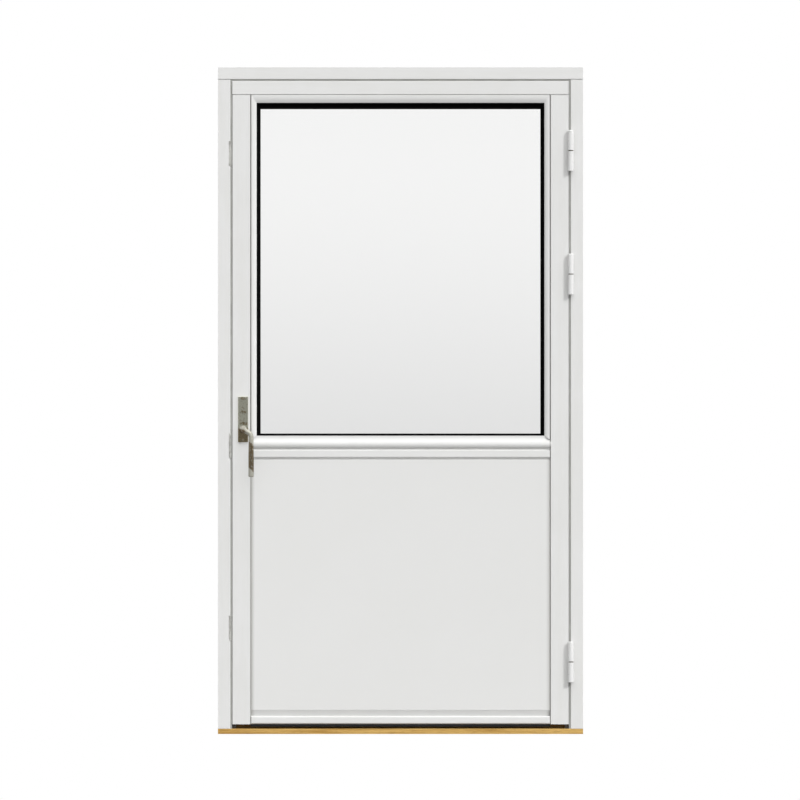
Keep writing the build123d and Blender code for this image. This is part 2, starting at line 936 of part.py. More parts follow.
# The handle plate, bored for the hub of the lever
plate_middle = spindle_height - plate_below_spindle + plate_height / 2
with BuildPart() as handle_plate:
    with BuildSketch(Plane.XZ.offset(-front)) as outline:
        with Locations((spindle_x, plate_middle)):
            RectangleRounded(plate_width, plate_height, plate_corner)
    extrude(amount=plate_thickness)
    chamfer(handle_plate.faces().sort_by(Axis.Y)[0].edges(), plate_edge)
    with BuildSketch(Plane.XZ.offset(-front)) as bore:
        with Locations((spindle_x, spindle_height)):
            Circle(hub_radius + hub_clearance)
    extrude(bore.sketch, amount=plate_thickness, mode=Mode.SUBTRACT)
handle_plate.part.label = "handle_plate"
export_step(handle_plate.part, "parts/handle_plate.step")

# The lever: a hub in the plate, a neck that comes out and cranks right and down, and an oval grip
grip_x = spindle_x + lever_crank
grip_y = handle_front - lever_reach
hub_end = handle_front - collar_clearance
crank_angle = math.degrees(math.atan2(lever_drop, lever_crank))
with BuildPart() as lever:
    with BuildSketch(Plane.XZ.offset(-handle_front - hub_seat)) as hub:
        with Locations((spindle_x, spindle_height)):
            Circle(hub_radius)
    extrude(amount=hub_seat + collar_clearance)
    with BuildSketch(Plane.XZ.offset(-hub_end)) as collar:
        with Locations((spindle_x, spindle_height)):
            Circle(collar_radius)
    extrude(amount=collar_height)
    chamfer(lever.faces().sort_by(Axis.Y)[0].edges(), collar_bevel)
    with BuildLine() as centre_line:
        FilletPolyline(
            (spindle_x, hub_end, spindle_height),
            (spindle_x, grip_y, spindle_height),
            (grip_x, grip_y, spindle_height - lever_drop),
            (grip_x, grip_y, spindle_height - lever_length),
            radius=lever_bend,
        )
    with BuildSketch(Plane.XZ.offset(-hub_end)) as oval:
        with Locations((spindle_x, spindle_height)):
            SlotOverall(grip_width, grip_depth, rotation=90 - crank_angle)
    sweep(sections=oval.sketch, path=centre_line.line)
lever.part.label = "lever"
export_step(lever.part, "parts/lever.step")

# The square spindle runs from the hub through the stile into the lock case
with BuildPart() as spindle:
    with BuildSketch(Plane.XZ.offset(-handle_front - hub_seat)) as square:
        with Locations((spindle_x, spindle_height)):
            Rectangle(spindle_side, spindle_side)
    case_back = plate_y + case_thickness / 2
    extrude(amount=handle_front + hub_seat - case_back + spindle_end_clearance)
spindle.part.label = "spindle"
export_step(spindle.part, "parts/spindle.step")
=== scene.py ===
import math

import bmesh
import bpy
from mathutils import Matrix, Vector


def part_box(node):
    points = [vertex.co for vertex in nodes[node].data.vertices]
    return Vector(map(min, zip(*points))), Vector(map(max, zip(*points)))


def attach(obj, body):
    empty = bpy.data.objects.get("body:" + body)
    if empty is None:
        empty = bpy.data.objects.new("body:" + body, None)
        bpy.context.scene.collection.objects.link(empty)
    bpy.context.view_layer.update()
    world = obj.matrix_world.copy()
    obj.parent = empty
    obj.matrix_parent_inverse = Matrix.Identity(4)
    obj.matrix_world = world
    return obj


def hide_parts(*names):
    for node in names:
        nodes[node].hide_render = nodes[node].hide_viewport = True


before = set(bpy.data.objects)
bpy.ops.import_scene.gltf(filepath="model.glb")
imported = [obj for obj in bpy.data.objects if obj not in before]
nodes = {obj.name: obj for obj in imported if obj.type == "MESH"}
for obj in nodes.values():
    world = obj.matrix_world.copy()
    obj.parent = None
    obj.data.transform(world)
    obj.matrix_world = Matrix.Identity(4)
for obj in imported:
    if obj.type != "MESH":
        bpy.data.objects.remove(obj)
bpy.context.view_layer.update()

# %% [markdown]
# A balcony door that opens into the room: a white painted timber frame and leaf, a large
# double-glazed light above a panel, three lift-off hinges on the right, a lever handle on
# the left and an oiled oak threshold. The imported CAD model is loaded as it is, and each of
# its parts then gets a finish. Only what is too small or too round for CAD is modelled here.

print("parts:", len(nodes))

# %% [markdown]
# The photograph was taken straight on and shows no perspective: the sides of the frame run
# parallel and no reveal shows on either side. An orthographic camera gives that picture,
# and its scale sets how many millimetres one pixel covers.

# %% Camera
picture_side = 800
metres_per_pixel = 0.002985
picture_middle_x = -0.0015
picture_middle_z = 0.997
camera_distance = 6.0
camera_data = bpy.data.cameras.new("camera")
camera_data.type = "ORTHO"
camera_data.ortho_scale = picture_side * metres_per_pixel
camera = bpy.data.objects.new("camera", camera_data)
camera.location = (picture_middle_x, -camera_distance, picture_middle_z)
camera.rotation_euler = (math.radians(90), 0, 0)
bpy.context.scene.collection.objects.link(camera)
bpy.context.scene.camera = camera
bpy.context.scene.view_settings.view_transform = "Standard"
print("the picture covers", round(camera_data.ortho_scale, 3), "m")

# %% [markdown]
# Node trees soon become hard to read when every addition is a line of its own. Two small
# helpers keep them short. A Value is a socket that Python's operators work on, so shader
# maths reads as a formula. A Finish is one material, and its node method adds any node:
# first its settings, then what goes into its sockets.

# %% Shader maths as formulas
class Value:
    """A socket of a node tree that + - * ** % and abs work on."""

    def __init__(self, finish, socket):
        self.finish = finish
        self.socket = socket

    def math(self, operation, first, second):
        sockets = {0: first, 1: second}
        return self.finish.node("ShaderNodeMath", {"operation": operation}, sockets)["Value"]

    def __add__(self, other):
        return self.math("ADD", self, other)

    def __radd__(self, other):
        return self.math("ADD", other, self)

    def __sub__(self, other):
        return self.math("SUBTRACT", self, other)

    def __rsub__(self, other):
        return self.math("SUBTRACT", other, self)

    def __mul__(self, other):
        return self.math("MULTIPLY", self, other)

    def __rmul__(self, other):
        return self.math("MULTIPLY", other, self)

    def __pow__(self, other):
        return self.math("POWER", self, other)

    def __mod__(self, other):
        return self.math("FLOORED_MODULO", self, other)

    def __abs__(self):
        return self.math("ABSOLUTE", self, 0)


class Finish:
    """A node tree being made, of a material unless another tree is given."""

    def __init__(self, name, tree=None):
        if tree is None:
            self.material = bpy.data.materials.new(name)
            self.material.use_nodes = True
            tree = self.material.node_tree
            self.shader = tree.nodes["Principled BSDF"]
            self.output = tree.nodes["Material Output"]
        self.tree = tree

    def node(self, kind, settings=None, sockets=None):
        """Adds a node and returns its outputs as Values, by name."""
        made = self.tree.nodes.new(kind)
        for key, setting in (settings or {}).items():
            setattr(made, key, setting)
        self.feed(made, sockets or {})
        return {s.name: Value(self, s) for s in reversed(made.outputs) if s.enabled}

    def feed(self, made, sockets):
        """Sets or links the sockets of a node, by name or by number."""
        for key, value in sockets.items():
            if isinstance(key, int):
                socket = made.inputs[key]
            else:
                socket = next(s for s in made.inputs if s.name == key and s.enabled)
            if isinstance(value, Value):
                self.tree.links.new(value.socket, socket)
            else:
                socket.default_value = value

    def principled(self, **sockets):
        """Feeds the Principled shader: base_color stands for Base Color, and so on."""
        names = {s.name.lower().replace(" ", "_"): s.name for s in self.shader.inputs}
        self.feed(self.shader, {names[key]: value for key, value in sockets.items()})
        print(self.material.name, "is made of", len(self.tree.nodes), "nodes")
        return self.material

    def mix(self, factor, first, second):
        """Mixes two colours."""
        made = self.node(
            "ShaderNodeMix",
            {"data_type": "RGBA"},
            {"Factor": factor, "A": first, "B": second},
        )
        return made["Result"]

    def place(self, stretch=(1, 1, 1), turn=(0, 0, 0), shift=(0, 0, 0)):
        """Object coordinates in metres, scaled, turned and moved."""
        coordinates = self.node("ShaderNodeTexCoord")["Object"]
        made = self.node(
            "ShaderNodeMapping",
            {},
            {"Vector": coordinates, "Scale": stretch, "Rotation": turn, "Location": shift},
        )
        return made["Vector"]

    def noise(self, vector, scale, detail=2.0, roughness=0.5):
        sockets = {"Vector": vector, "Scale": scale, "Detail": detail, "Roughness": roughness}
        return self.node("ShaderNodeTexNoise", {}, sockets)["Fac"]

    def range(self, value, low, high, to_low=0.0, to_high=1.0):
        """Maps low to high onto to_low to to_high, smoothly and clamped."""
        made = self.node(
            "ShaderNodeMapRange",
            {"interpolation_type": "SMOOTHSTEP"},
            {"Value": value, 1: low, 2: high, 3: to_low, 4: to_high},
        )
        return made["Result"]

    def bump(self, height, depth, strength=1.0):
        """A height from 0 to 1 as a normal, with its depth in metres."""
        sockets = {"Height": height, "Distance": depth, "Strength": strength}
        return self.node("ShaderNodeBump", {}, sockets)["Normal"]


def colour(red, green, blue):
    """A colour from the eye's 0 to 255 scale to the linear one that shaders use."""
    steps = [c / 255 for c in (red, green, blue)]
    return (*(s / 12.92 if s <= 0.04045 else ((s + 0.055) / 1.055) ** 2.4 for s in steps), 1.0)


print("white paint in linear light:", [round(c, 3) for c in colour(226, 226, 225)])

# %% [markdown]
# The studio is plain. A key sun from the upper right, in front of the door, draws the
# shadows of the hinges and the bright and dark sides of every small moulding. A second sun
# stands higher and is sixty degrees wide, like a big soft box: it brightens what looks up
# and leaves soft shade under every ledge. The white world fills the rest. Rays that leave
# the camera, or leave it by way of glass or metal, see the world as pure white, as in a
# picture cut out on white; the rays that light the door see it weaker, so that a colour
# renders about as it is written.

# %% World and sun
world = bpy.data.worlds.new("studio")
world.use_nodes = True
bpy.context.scene.world = world
studio = Finish("studio", world.node_tree)
white = (1, 1, 1, 1)
fill_strength = 0.6
ray = studio.node("ShaderNodeLightPath")
seen = ray["Is Camera Ray"] + ray["Is Glossy Ray"] + ray["Is Transmission Ray"]
seen_share = studio.range(seen, 0.0, 1.0)
backdrop = studio.tree.nodes["Background"]
strength = fill_strength + seen_share * (1 - fill_strength)
studio.feed(backdrop, {"Color": white, "Strength": strength})


def sun(name, towards, energy, width):
    """A sun that stands in this direction and looks this many degrees wide."""
    towards = Vector(towards).normalized()
    data = bpy.data.lights.new(name, "SUN")
    data.energy = energy
    data.angle = math.radians(width)
    lamp = bpy.data.objects.new(name, data)
    lamp.rotation_euler = towards.to_track_quat("Z", "Y").to_euler()
    bpy.context.scene.collection.objects.link(lamp)
    print(name, "stands", round(math.degrees(math.asin(towards.z))), "degrees high")


sun("key", towards=(0.58, -0.57, 0.58), energy=1.65, width=9)
sun("soft_top", towards=(0.12, -0.55, 0.82), energy=1.12, width=60)

# %% [markdown]
# The floor is pale, wide and flat. To the camera it glows too, which brings it up to the
# white of the world while the shadow of the door stays on it. Seen through the glass it
# glows less, so that it is as bright as the foot of the sky behind it and no horizon shows.

# %% Floor
def from_shape(name, shape):
    """Makes an object of a finished bmesh and puts it in the scene."""
    mesh = bpy.data.meshes.new(name)
    shape.to_mesh(mesh)
    shape.free()
    made = bpy.data.objects.new(name, mesh)
    bpy.context.scene.collection.objects.link(made)
    return made


floor_drop = 0.0004
floor_half = 30.0
floor_glow = 0.62
floor_glow_in_glass = 0.37
shape = bmesh.new()
bmesh.ops.create_grid(shape, x_segments=1, y_segments=1, size=floor_half)
bmesh.ops.translate(shape, verts=shape.verts, vec=(0, 0, -floor_drop))
floor = from_shape("floor", shape)

pale = Finish("floor_pale")
speckle = pale.noise(pale.place(), scale=240.0, detail=3.0)
path = pale.node("ShaderNodeLightPath")
glow = path["Is Camera Ray"] * floor_glow + path["Is Transmission Ray"] * floor_glow_in_glass
pale.principled(
    base_color=pale.mix(speckle, (0.34, 0.34, 0.34, 1), (0.36, 0.36, 0.36, 1)),
    roughness=0.9,
    specular_ior_level=0.1,
    emission_color=white,
    emission_strength=glow,
)
floor.data.materials.append(pale.material)
print("floor of", 2 * floor_half, "m")

# %% [markdown]
# Glass shows two things at once, what is behind it and what it mirrors. In the photograph
# the view through the pane goes evenly from nearly white at the top to a light grey at the
# sill, as a pale sky does, and the edge of the unit stays quite black, so hardly anything
# is mirrored. Two cards give that. A very wide one behind the door is the sky, and only
# rays that come through glass see it. One behind the camera is the unlit room, and only
# mirror rays see it: dark in the middle, where the pane looks, and paler around it, where
# the metal of the handle and the keeps looks. Neither card lights the door or shades it.

# %% Cards that the glass shows
def card(name, width, low, high, y):
    """An upright card across the view, from low to high, on the stage."""
    shape = bmesh.new()
    bmesh.ops.create_grid(shape, x_segments=1, y_segments=1, size=0.5)
    size = Matrix.Diagonal((width, high - low, 1, 1))
    upright = Matrix.Rotation(math.radians(90), 4, "X") @ size
    place = Matrix.Translation((0, y, (low + high) / 2))
    bmesh.ops.transform(shape, verts=shape.verts, matrix=place @ upright)
    made = from_shape(name, shape)
    made.visible_camera = False
    made.visible_diffuse = False
    made.visible_shadow = False
    made.visible_volume_scatter = False
    return made


def light_up(made, finish, glow):
    """Lets a card give off white light of this strength and nothing else."""
    sockets = {"Color": white, "Strength": glow}
    lit = finish.node("ShaderNodeEmission", {}, sockets)["Emission"]
    finish.tree.links.new(lit.socket, finish.output.inputs["Surface"])
    made.data.materials.append(finish.material)


sky_card = card("sky_card", width=40.0, low=-2.0, high=12.0, y=3.0)
sky_card.visible_glossy = False
room_card = card("room_card", width=9.0, low=-1.6, high=4.4, y=-8.0)
room_card.visible_transmission = False

sky_foot, sky_top = 0.45, 1.75
sky_foot_glow, sky_top_glow = 0.755, 0.997
sky = Finish("sky")
height = sky.node("ShaderNodeSeparateXYZ", {}, {0: sky.place()})["Z"]
light_up(sky_card, sky, sky.range(height, sky_foot, sky_top, sky_foot_glow, sky_top_glow))

dark_middle_z = 1.4
dark_half_width = 0.6
dark_half_height = 0.9
dark_fade = 0.6
room_glow = 0.32
middle_loss = 0.3
unlit = Finish("unlit_room")
axes = unlit.node("ShaderNodeSeparateXYZ", {}, {0: unlit.place()})
off_x = abs(axes["X"])
off_z = abs(axes["Z"] - dark_middle_z)
beside = unlit.range(off_x, dark_half_width, dark_half_width + dark_fade)
above = unlit.range(off_z, dark_half_height, dark_half_height + dark_fade)
light_up(room_card, unlit, room_glow - middle_loss * (1 - beside) * (1 - above))
print("sky card behind the door, room card in front")

# %% [markdown]
# The frame, the stiles and the rails are pine under a sprayed satin paint. Close to, the
# grain telegraphs through as very fine ridges along each timber, and the gloss is a little
# uneven. The ridges come from noise that is stretched along the timber, so upright and
# level timbers need a finish each. Where a bead or the panel meets a stile there is a
# narrow vee, and painted shade, with the dust that settles there, makes a grey line in it.

# %% Painted timber
white_paint = colour(226, 226, 225)
white_paint_low = colour(223, 223, 221)
# Painted shade: this colour greys the vees beside the stiles, and stands for their dust too.
dust_and_shade = colour(150, 150, 145)
vee_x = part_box("inner_panel")[1].x
face_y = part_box("hinge_stile")[0].y
stile_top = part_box("hinge_stile")[1].z
vee_half = 0.0008
shaded_width = 0.0028
shaded_depth = 0.009
depth_fade = 0.003
top_fade = 0.001
dust_and_shade_share = 0.6


def vee_dust_and_shade(finish):
    """Painted shade with its dirt in the vee: 1 beside a stile and 0 out on the faces."""
    axes = finish.node("ShaderNodeSeparateXYZ", {}, {0: finish.place()})
    near = finish.range(abs(abs(axes["X"]) - vee_x), vee_half, shaded_width, 1.0, 0.0)
    depth = axes["Y"] - face_y
    shallow = finish.range(depth, shaded_depth - depth_fade, shaded_depth, 1.0, 0.0)
    below = finish.range(axes["Z"], stile_top - top_fade, stile_top, 1.0, 0.0)
    return near * shallow * below


def painted_timber(name, stretch):
    """Satin paint over grain that is stretched by these shares along x, y and z."""
    finish = Finish(name)
    along = finish.place(stretch=stretch)
    ridges = finish.noise(along, scale=420.0, detail=3.0, roughness=0.6)
    broad = finish.noise(along, scale=60.0, detail=2.0)
    patches = finish.noise(finish.place(), scale=7.0, detail=2.0)
    peel = finish.noise(finish.place(), scale=900.0, detail=1.0)
    tone = finish.range(ridges * 0.35 + broad * 0.35 + patches * 0.3, 0.38, 0.62)
    gloss = finish.range(patches * 0.7 + ridges * 0.3, 0.35, 0.65, 0.38, 0.5)
    relief = finish.bump(ridges * 0.6 + broad * 0.25 + peel * 0.15, depth=0.00012, strength=0.6)
    paint = finish.mix(tone, white_paint_low, white_paint)
    return finish.principled(
        # painted shade and dust darken the vee
        base_color=finish.mix(vee_dust_and_shade(finish) * dust_and_shade_share, paint, dust_and_shade),
        roughness=gloss,
        specular_ior_level=0.35,
        normal=relief,
    )


upright_paint = painted_timber("painted_timber_upright", (1, 1, 0.05))
level_paint = painted_timber("painted_timber_level", (0.05, 1, 1))

# %% [markdown]
# The panel is a sheet, so nothing shows through its paint but the fine orange peel that
# the spray gun leaves. It lies a little behind the stiles, and painted shade makes its
# edges greyer than its middle, as if the corner by the stile were in shade. The painted
# shade fades out fourteen millimetres from the stile.

# %% Painted panel
edge_shade = 0.88
edge_fade = 0.014
sheet_paint = Finish("painted_panel")
peel = sheet_paint.noise(sheet_paint.place(), scale=520.0, detail=2.0)
clouds = sheet_paint.noise(sheet_paint.place(), scale=4.0, detail=2.0)
axes = sheet_paint.node("ShaderNodeSeparateXYZ", {}, {0: sheet_paint.place()})
from_side = vee_x - abs(axes["X"])
# Painted shade: the panel darkens towards the stiles.
grey = sheet_paint.range(from_side, -0.003, edge_fade, edge_shade, 0.0)
paint = sheet_paint.mix(clouds, colour(225, 225, 223), white_paint)
sheet_paint.principled(
    base_color=sheet_paint.mix(grey, paint, colour(170, 169, 165)),
    roughness=sheet_paint.range(clouds, 0.35, 0.65, 0.4, 0.48),
    specular_ior_level=0.35,
    normal=sheet_paint.bump(peel, depth=0.00008, strength=0.5),
)

# %% [markdown]
# The threshold is oak, oiled to a warm gold. Its grain runs along the sill: soft bands a
# few millimetres wide, and short dark pores in them.

# %% Oiled oak
oak = Finish("oiled_oak")
drift = oak.noise(oak.place(stretch=(0.6, 1, 1)), scale=5.0, detail=2.0)
run = oak.place(stretch=(0.035, 1, 1))
bands = oak.noise(run, scale=190.0, detail=3.0, roughness=0.55)
short = oak.place(stretch=(0.06, 1, 1))
pores = oak.range(oak.noise(short, scale=900.0, detail=1.0), 0.6, 0.72)
tone = oak.range(bands * 0.75 + drift * 0.25, 0.36, 0.64)
wood = oak.mix(tone, colour(176, 134, 62), colour(212, 174, 100))
wood = oak.mix(pores * 0.55, wood, colour(120, 84, 34))
oak.principled(
    base_color=wood,
    roughness=oak.range(bands, 0.3, 0.7, 0.42, 0.58),
    specular_ior_level=0.4,
    normal=oak.bump(bands * 0.4 - pores * 0.6, depth=0.00015, strength=0.7),
)

# %% [markdown]
# Rubber seals are matt. The black ones carry the faint lines of the die that they were
# drawn through, and the pale one behind the face of the frame keeps the gap from showing
# black.

# %% Seals
def seal(name, dark, light, rough):
    """Matt rubber between two tones, with grit in it."""
    finish = Finish(name)
    grit = finish.noise(finish.place(), scale=1400.0, detail=2.0)
    bloom = finish.noise(finish.place(), scale=25.0, detail=3.0)
    return finish.principled(
        base_color=finish.mix(finish.range(bloom, 0.4, 0.7), dark, light),
        roughness=finish.range(grit, 0.3, 0.7, rough - 0.07, rough + 0.07),
        specular_ior_level=0.3,
        normal=finish.bump(grit, depth=0.00005, strength=0.5),
    )


black_rubber = seal("black_rubber", colour(14, 14, 15), colour(24, 24, 25), 0.6)
pale_rubber = seal("pale_rubber", colour(160, 160, 156), colour(172, 172, 168), 0.55)
gasket_rubber = seal("gasket_rubber", colour(8, 8, 9), colour(16, 16, 17), 0.55)

# %% [markdown]
# The spacer bar between the panes is black, with a row of pinholes down its middle that
# let the drying agent inside breathe.

# %% Spacer bar
pinhole_pitch = 0.006
pinhole_radius = 0.0006
spacer_low, spacer_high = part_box("spacer")
bar = Finish("spacer_bar")
axes = bar.node("ShaderNodeSeparateXYZ", {}, {0: bar.place()})
middle_depth = (spacer_low.y + spacer_high.y) / 2
along = (axes["X"] + axes["Z"]) % pinhole_pitch - pinhole_pitch / 2
across = axes["Y"] - middle_depth
from_hole = (along * along + across * across) ** 0.5
hole = bar.range(from_hole, pinhole_radius, pinhole_radius * 1.4, 1.0, 0.0)
bar.principled(
    base_color=bar.mix(hole, colour(5, 5, 6), colour(1, 1, 1)),
    roughness=bar.range(bar.noise(bar.place(), scale=600.0), 0.3, 0.7, 0.42, 0.56),
    specular_ior_level=0.3,
    normal=bar.bump(1 - hole, depth=0.0003, strength=0.8),
)

# %% [markdown]
# The panes are clear float glass with the slight grey-green of iron in the sand. For the
# rays that go out to the lamps the glass is see-through, because otherwise it would throw
# a solid shadow.

# %% Glass
glass = Finish("clear_glass")
glass.principled(
    base_color=(0.97, 0.971, 0.969, 1),
    roughness=0.0,
    ior=1.5,
    transmission_weight=1.0,
)
shadow_ray = glass.node("ShaderNodeLightPath")["Is Shadow Ray"]
clear = glass.node("ShaderNodeBsdfTransparent", {}, {"Color": (0.9, 0.91, 0.905, 1)})["BSDF"]
body = Value(glass, glass.shader.outputs["BSDF"])
joined = glass.node("ShaderNodeMixShader", {}, {0: shadow_ray, 1: body, 2: clear})["Shader"]
glass.tree.links.new(joined.socket, glass.output.inputs["Surface"])

# %% [markdown]
# The keeps, the faceplate of the lock and the screws are steel with a zinc coat: a pale,
# slightly warm metal with soft cloudy patches and the fine lines of the rolled strip.

# %% Zinc-plated steel
zinc = Finish("zinc_steel")
strip_lines = zinc.noise(zinc.place(stretch=(1, 1, 0.03)), scale=1500.0, detail=2.0)
cloud = zinc.noise(zinc.place(), scale=90.0, detail=3.0)
patches = zinc.range(cloud, 0.35, 0.65)
zinc.principled(
    base_color=zinc.mix(patches, colour(226, 226, 219), colour(238, 238, 232)),
    metallic=1.0,
    roughness=zinc.range(cloud * 0.6 + strip_lines * 0.4, 0.35, 0.65, 0.3, 0.46),
    normal=zinc.bump(strip_lines, depth=0.00003, strength=0.5),
)

# %% [markdown]
# The hinges are steel under the same white, as a thicker and glossier enamel.

# %% White enamel
enamel = Finish("white_enamel")
flow = enamel.noise(enamel.place(), scale=160.0, detail=2.0)
enamel.principled(
    base_color=enamel.mix(flow, colour(229, 229, 228), colour(231, 231, 230)),
    roughness=enamel.range(flow, 0.3, 0.7, 0.27, 0.31),
    coat_weight=0.4,
    coat_roughness=0.15,
    normal=enamel.bump(flow, depth=0.00008, strength=0.4),
)

# %% [markdown]
# The handle and its plate are brushed nickel with a warm brown patina in random spots. The
# lower end of the plate and the hub are darkened by painted shade, where the shadow of the
# lever would lie, and the plate has three darker spots. Along the grip, painted shade
# stands for the dark room that the metal mirrors, so the neck and the end of the grip stay
# pale, as painted highlights, and are rougher than the rest. The border between pale and
# brown runs aslant across the grip. The brushing runs up and down.

# %% Brushed nickel
grip_half_width = 0.008
grip_axis_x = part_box("lever")[1].x - grip_half_width
# Painted shade: the lower end of the plate and part of the grip are darkened between these
# heights.
shade_border = 0.005
plate_shade_top = 0.911
grip_shade_low, grip_shade_high = 0.788, 0.868
plate_dark_spots = (
    (-0.470, 0.9605, 0.005, 0.22),
    (-0.467, 0.9275, 0.005, 0.22),
    (-0.470, 1.001, 0.004, 0.22),
)
# The hub is darkened as painted shade.
hub_shade = (-0.479, 0.902, 0.008, 0.45)


def nickel(name, pale_tone, dark_tone, low, high, spotting, wear=0.0, aslant=0.0, dark_spots=()):
    """Nickel with painted shade between two heights, dark spots (x, z, size, depth) and patina.
    """
    finish = Finish(name)
    brushing = finish.noise(finish.place(stretch=(1, 1, 0.02)), scale=2600.0, detail=2.0)
    patina = finish.noise(finish.place(), scale=190.0, detail=4.0, roughness=0.6)
    pits = finish.range(finish.noise(finish.place(), scale=620.0, detail=1.0), 0.58, 0.66)
    axes = finish.node("ShaderNodeSeparateXYZ", {}, {0: finish.place()})
    height = axes["Z"] + (axes["X"] - grip_axis_x) * aslant
    above = finish.range(height, low - shade_border, low + shade_border)
    below = finish.range(height, high - shade_border, high + shade_border, 1.0, 0.0)
    # Between low and high the nickel is darkened as painted shade, with dark pits in it.
    shade_zone = above * below
    brown = shade_zone * 0.35
    for x, z, size, depth in dark_spots:
        across = (axes["X"] - x) * 0.5
        up = axes["Z"] - z
        away = (across * across + up * up) ** 0.5
        brown = brown + finish.range(away, size * 0.6, size * 1.4, depth, 0.0)
    patina_and_shade = finish.range(patina + brown + spotting, 0.5, 0.8)
    tone = finish.mix(patina_and_shade, pale_tone, dark_tone)
    gloss = finish.range(brushing * 0.5 + patina * 0.5, 0.3, 0.7, 0.28, 0.44)
    return finish.principled(
        base_color=finish.mix(pits * shade_zone * 0.6, tone, colour(58, 56, 54)),
        metallic=1.0,
        roughness=gloss + wear * (1 - patina_and_shade),
        normal=finish.bump(brushing, depth=0.00003, strength=0.6),
    )


plate_nickel = nickel(
    "nickel_plate",
    pale_tone=colour(199, 199, 183),
    dark_tone=colour(140, 128, 102),
    low=0.0,
    high=plate_shade_top,
    spotting=0.02,
    dark_spots=plate_dark_spots,
)
lever_nickel = nickel(
    "nickel_lever",
    pale_tone=colour(182, 180, 170),
    dark_tone=colour(118, 105, 84),
    low=grip_shade_low,
    high=grip_shade_high,
    spotting=-0.06,
    wear=0.34,
    aslant=1.0,
    dark_spots=[hub_shade],
)
print("the plate is brown up to", plate_shade_top, "and the grip from", grip_shade_low, "up")

# %% [markdown]
# The foam core of the panel and the plastic blocks under the glass are closed in, and show
# only where a part is taken off. They get plain finishes with their own texture.

# %% Foam and plastic
foam = Finish("core_foam")
bubbles = {"Vector": foam.place(), "Scale": 500.0}
cells = foam.node("ShaderNodeTexVoronoi", {}, bubbles)["Distance"]
foam.principled(
    base_color=foam.mix(cells, colour(206, 214, 220), colour(232, 236, 238)),
    roughness=0.85,
    normal=foam.bump(cells, depth=0.0004),
)
block = Finish("block_plastic")
moulding = block.noise(block.place(), scale=900.0, detail=2.0)
block.principled(
    base_color=block.mix(moulding, colour(52, 66, 92), colour(60, 76, 104)),
    roughness=block.range(moulding, 0.3, 0.7, 0.4, 0.5),
    normal=block.bump(moulding, depth=0.00005),
)

# %% [markdown]
# Each part of the CAD model takes its finish here. A part that had none would show at once
# in the printed list.

# %% Finishes on the parts
hinge_places = ("upper", "middle", "lower")
uprights = ["hinge_jamb", "lock_jamb", "hinge_stile", "lock_stile"]
side_beads = ["hinge_side_bead", "lock_side_bead"]
rails = ["frame_head", "top_rail", "middle_rail", "bottom_rail", "bottom_strip", "weather_bar"]
level_beads = ["top_bead", "bottom_bead"]
keeps = [f"{place}_keep" for place in hinge_places]
bolts = [f"{place}_hook_bolt" for place in hinge_places]
hinges = [f"{place}_hinge_{half}_half" for place in hinge_places for half in ("pin", "leaf")]
finishes = {
    oak.material: ["threshold"],
    upright_paint: uprights + side_beads,
    level_paint: rails + level_beads,
    sheet_paint.material: ["inner_panel", "outer_panel"],
    black_rubber: ["frame_seal", "bottom_seal"],
    pale_rubber: ["draught_strip"],
    gasket_rubber: ["bead_seal", "glazing_tape"],
    bar.material: ["spacer"],
    glass.material: ["inner_pane", "outer_pane"],
    zinc.material: [*keeps, *bolts, "lock_rail", "lock_case", "spindle"],
    enamel.material: hinges,
    plate_nickel: ["handle_plate"],
    lever_nickel: ["lever"],
    foam.material: ["panel_core"],
    block.material: ["setting_blocks"],
}
for material, names in finishes.items():
    for name in names:
        nodes[name].data.materials.clear()
        nodes[name].data.materials.append(material)
finished = {name for names in finishes.values() for name in names}
print("parts without a finish:", sorted(set(nodes) - finished))

# %% [markdown]
# Three moves make the small turned and bent metal parts that follow. A ring of points is
# extruded along a straight run or spun round a bend, and an outline is spun right round an
# axis, as on a lathe. The selected edges of a bar are its open end, which the next move goes
# on from.

# %% Helpers that shape
sharp_angle = math.radians(40)


def points_of(geometry):
    """The points among what an operator gives back."""
    return [g for g in geometry if isinstance(g, bmesh.types.BMVert)]


def pick(shape, verts):
    """Selects only the edges between these points."""
    chosen = set(verts)
    for edge in shape.edges:
        edge.select = all(v in chosen for v in edge.verts)


def grow(shape, offset, widths=(1, 1, 1)):
    """Extrudes the selected ring by an offset and scales the new ring about its middle."""
    ring = [e for e in shape.edges if e.select]
    fresh = points_of(bmesh.ops.extrude_edge_only(shape, edges=ring)["geom"])
    bmesh.ops.translate(shape, verts=fresh, vec=offset)
    middle = sum((v.co for v in fresh), Vector()) / len(fresh)
    bmesh.ops.scale(shape, verts=fresh, vec=widths, space=Matrix.Translation(-middle))
    pick(shape, fresh)


def bend(shape, centre, axis, angle, steps):
    """Spins the selected ring round a bend and selects the ring at its end."""
    ring = [e for e in shape.edges if e.select]
    made = bmesh.ops.spin(
        shape, geom=ring, cent=centre, axis=axis, angle=angle, steps=steps, use_merge=False
    )
    pick(shape, points_of(made["geom_last"]))


def lathe(shape, outline, centre, axis, steps=32):
    """Turns an outline of (radius, height) pairs once round an axis."""
    centre, axis = Vector(centre), Vector(axis)
    out = axis.orthogonal().normalized()
    corners = [shape.verts.new(centre + out * r + axis * h) for r, h in outline]
    closing = corners[:1] if outline[0][0] > 0 else []
    edges = [shape.edges.new(pair) for pair in zip(corners, corners[1:] + closing)]
    bmesh.ops.spin(
        shape, geom=edges, cent=centre, axis=axis, angle=math.tau, steps=steps, use_merge=True
    )
    bmesh.ops.remove_doubles(shape, verts=shape.verts, dist=1e-6)


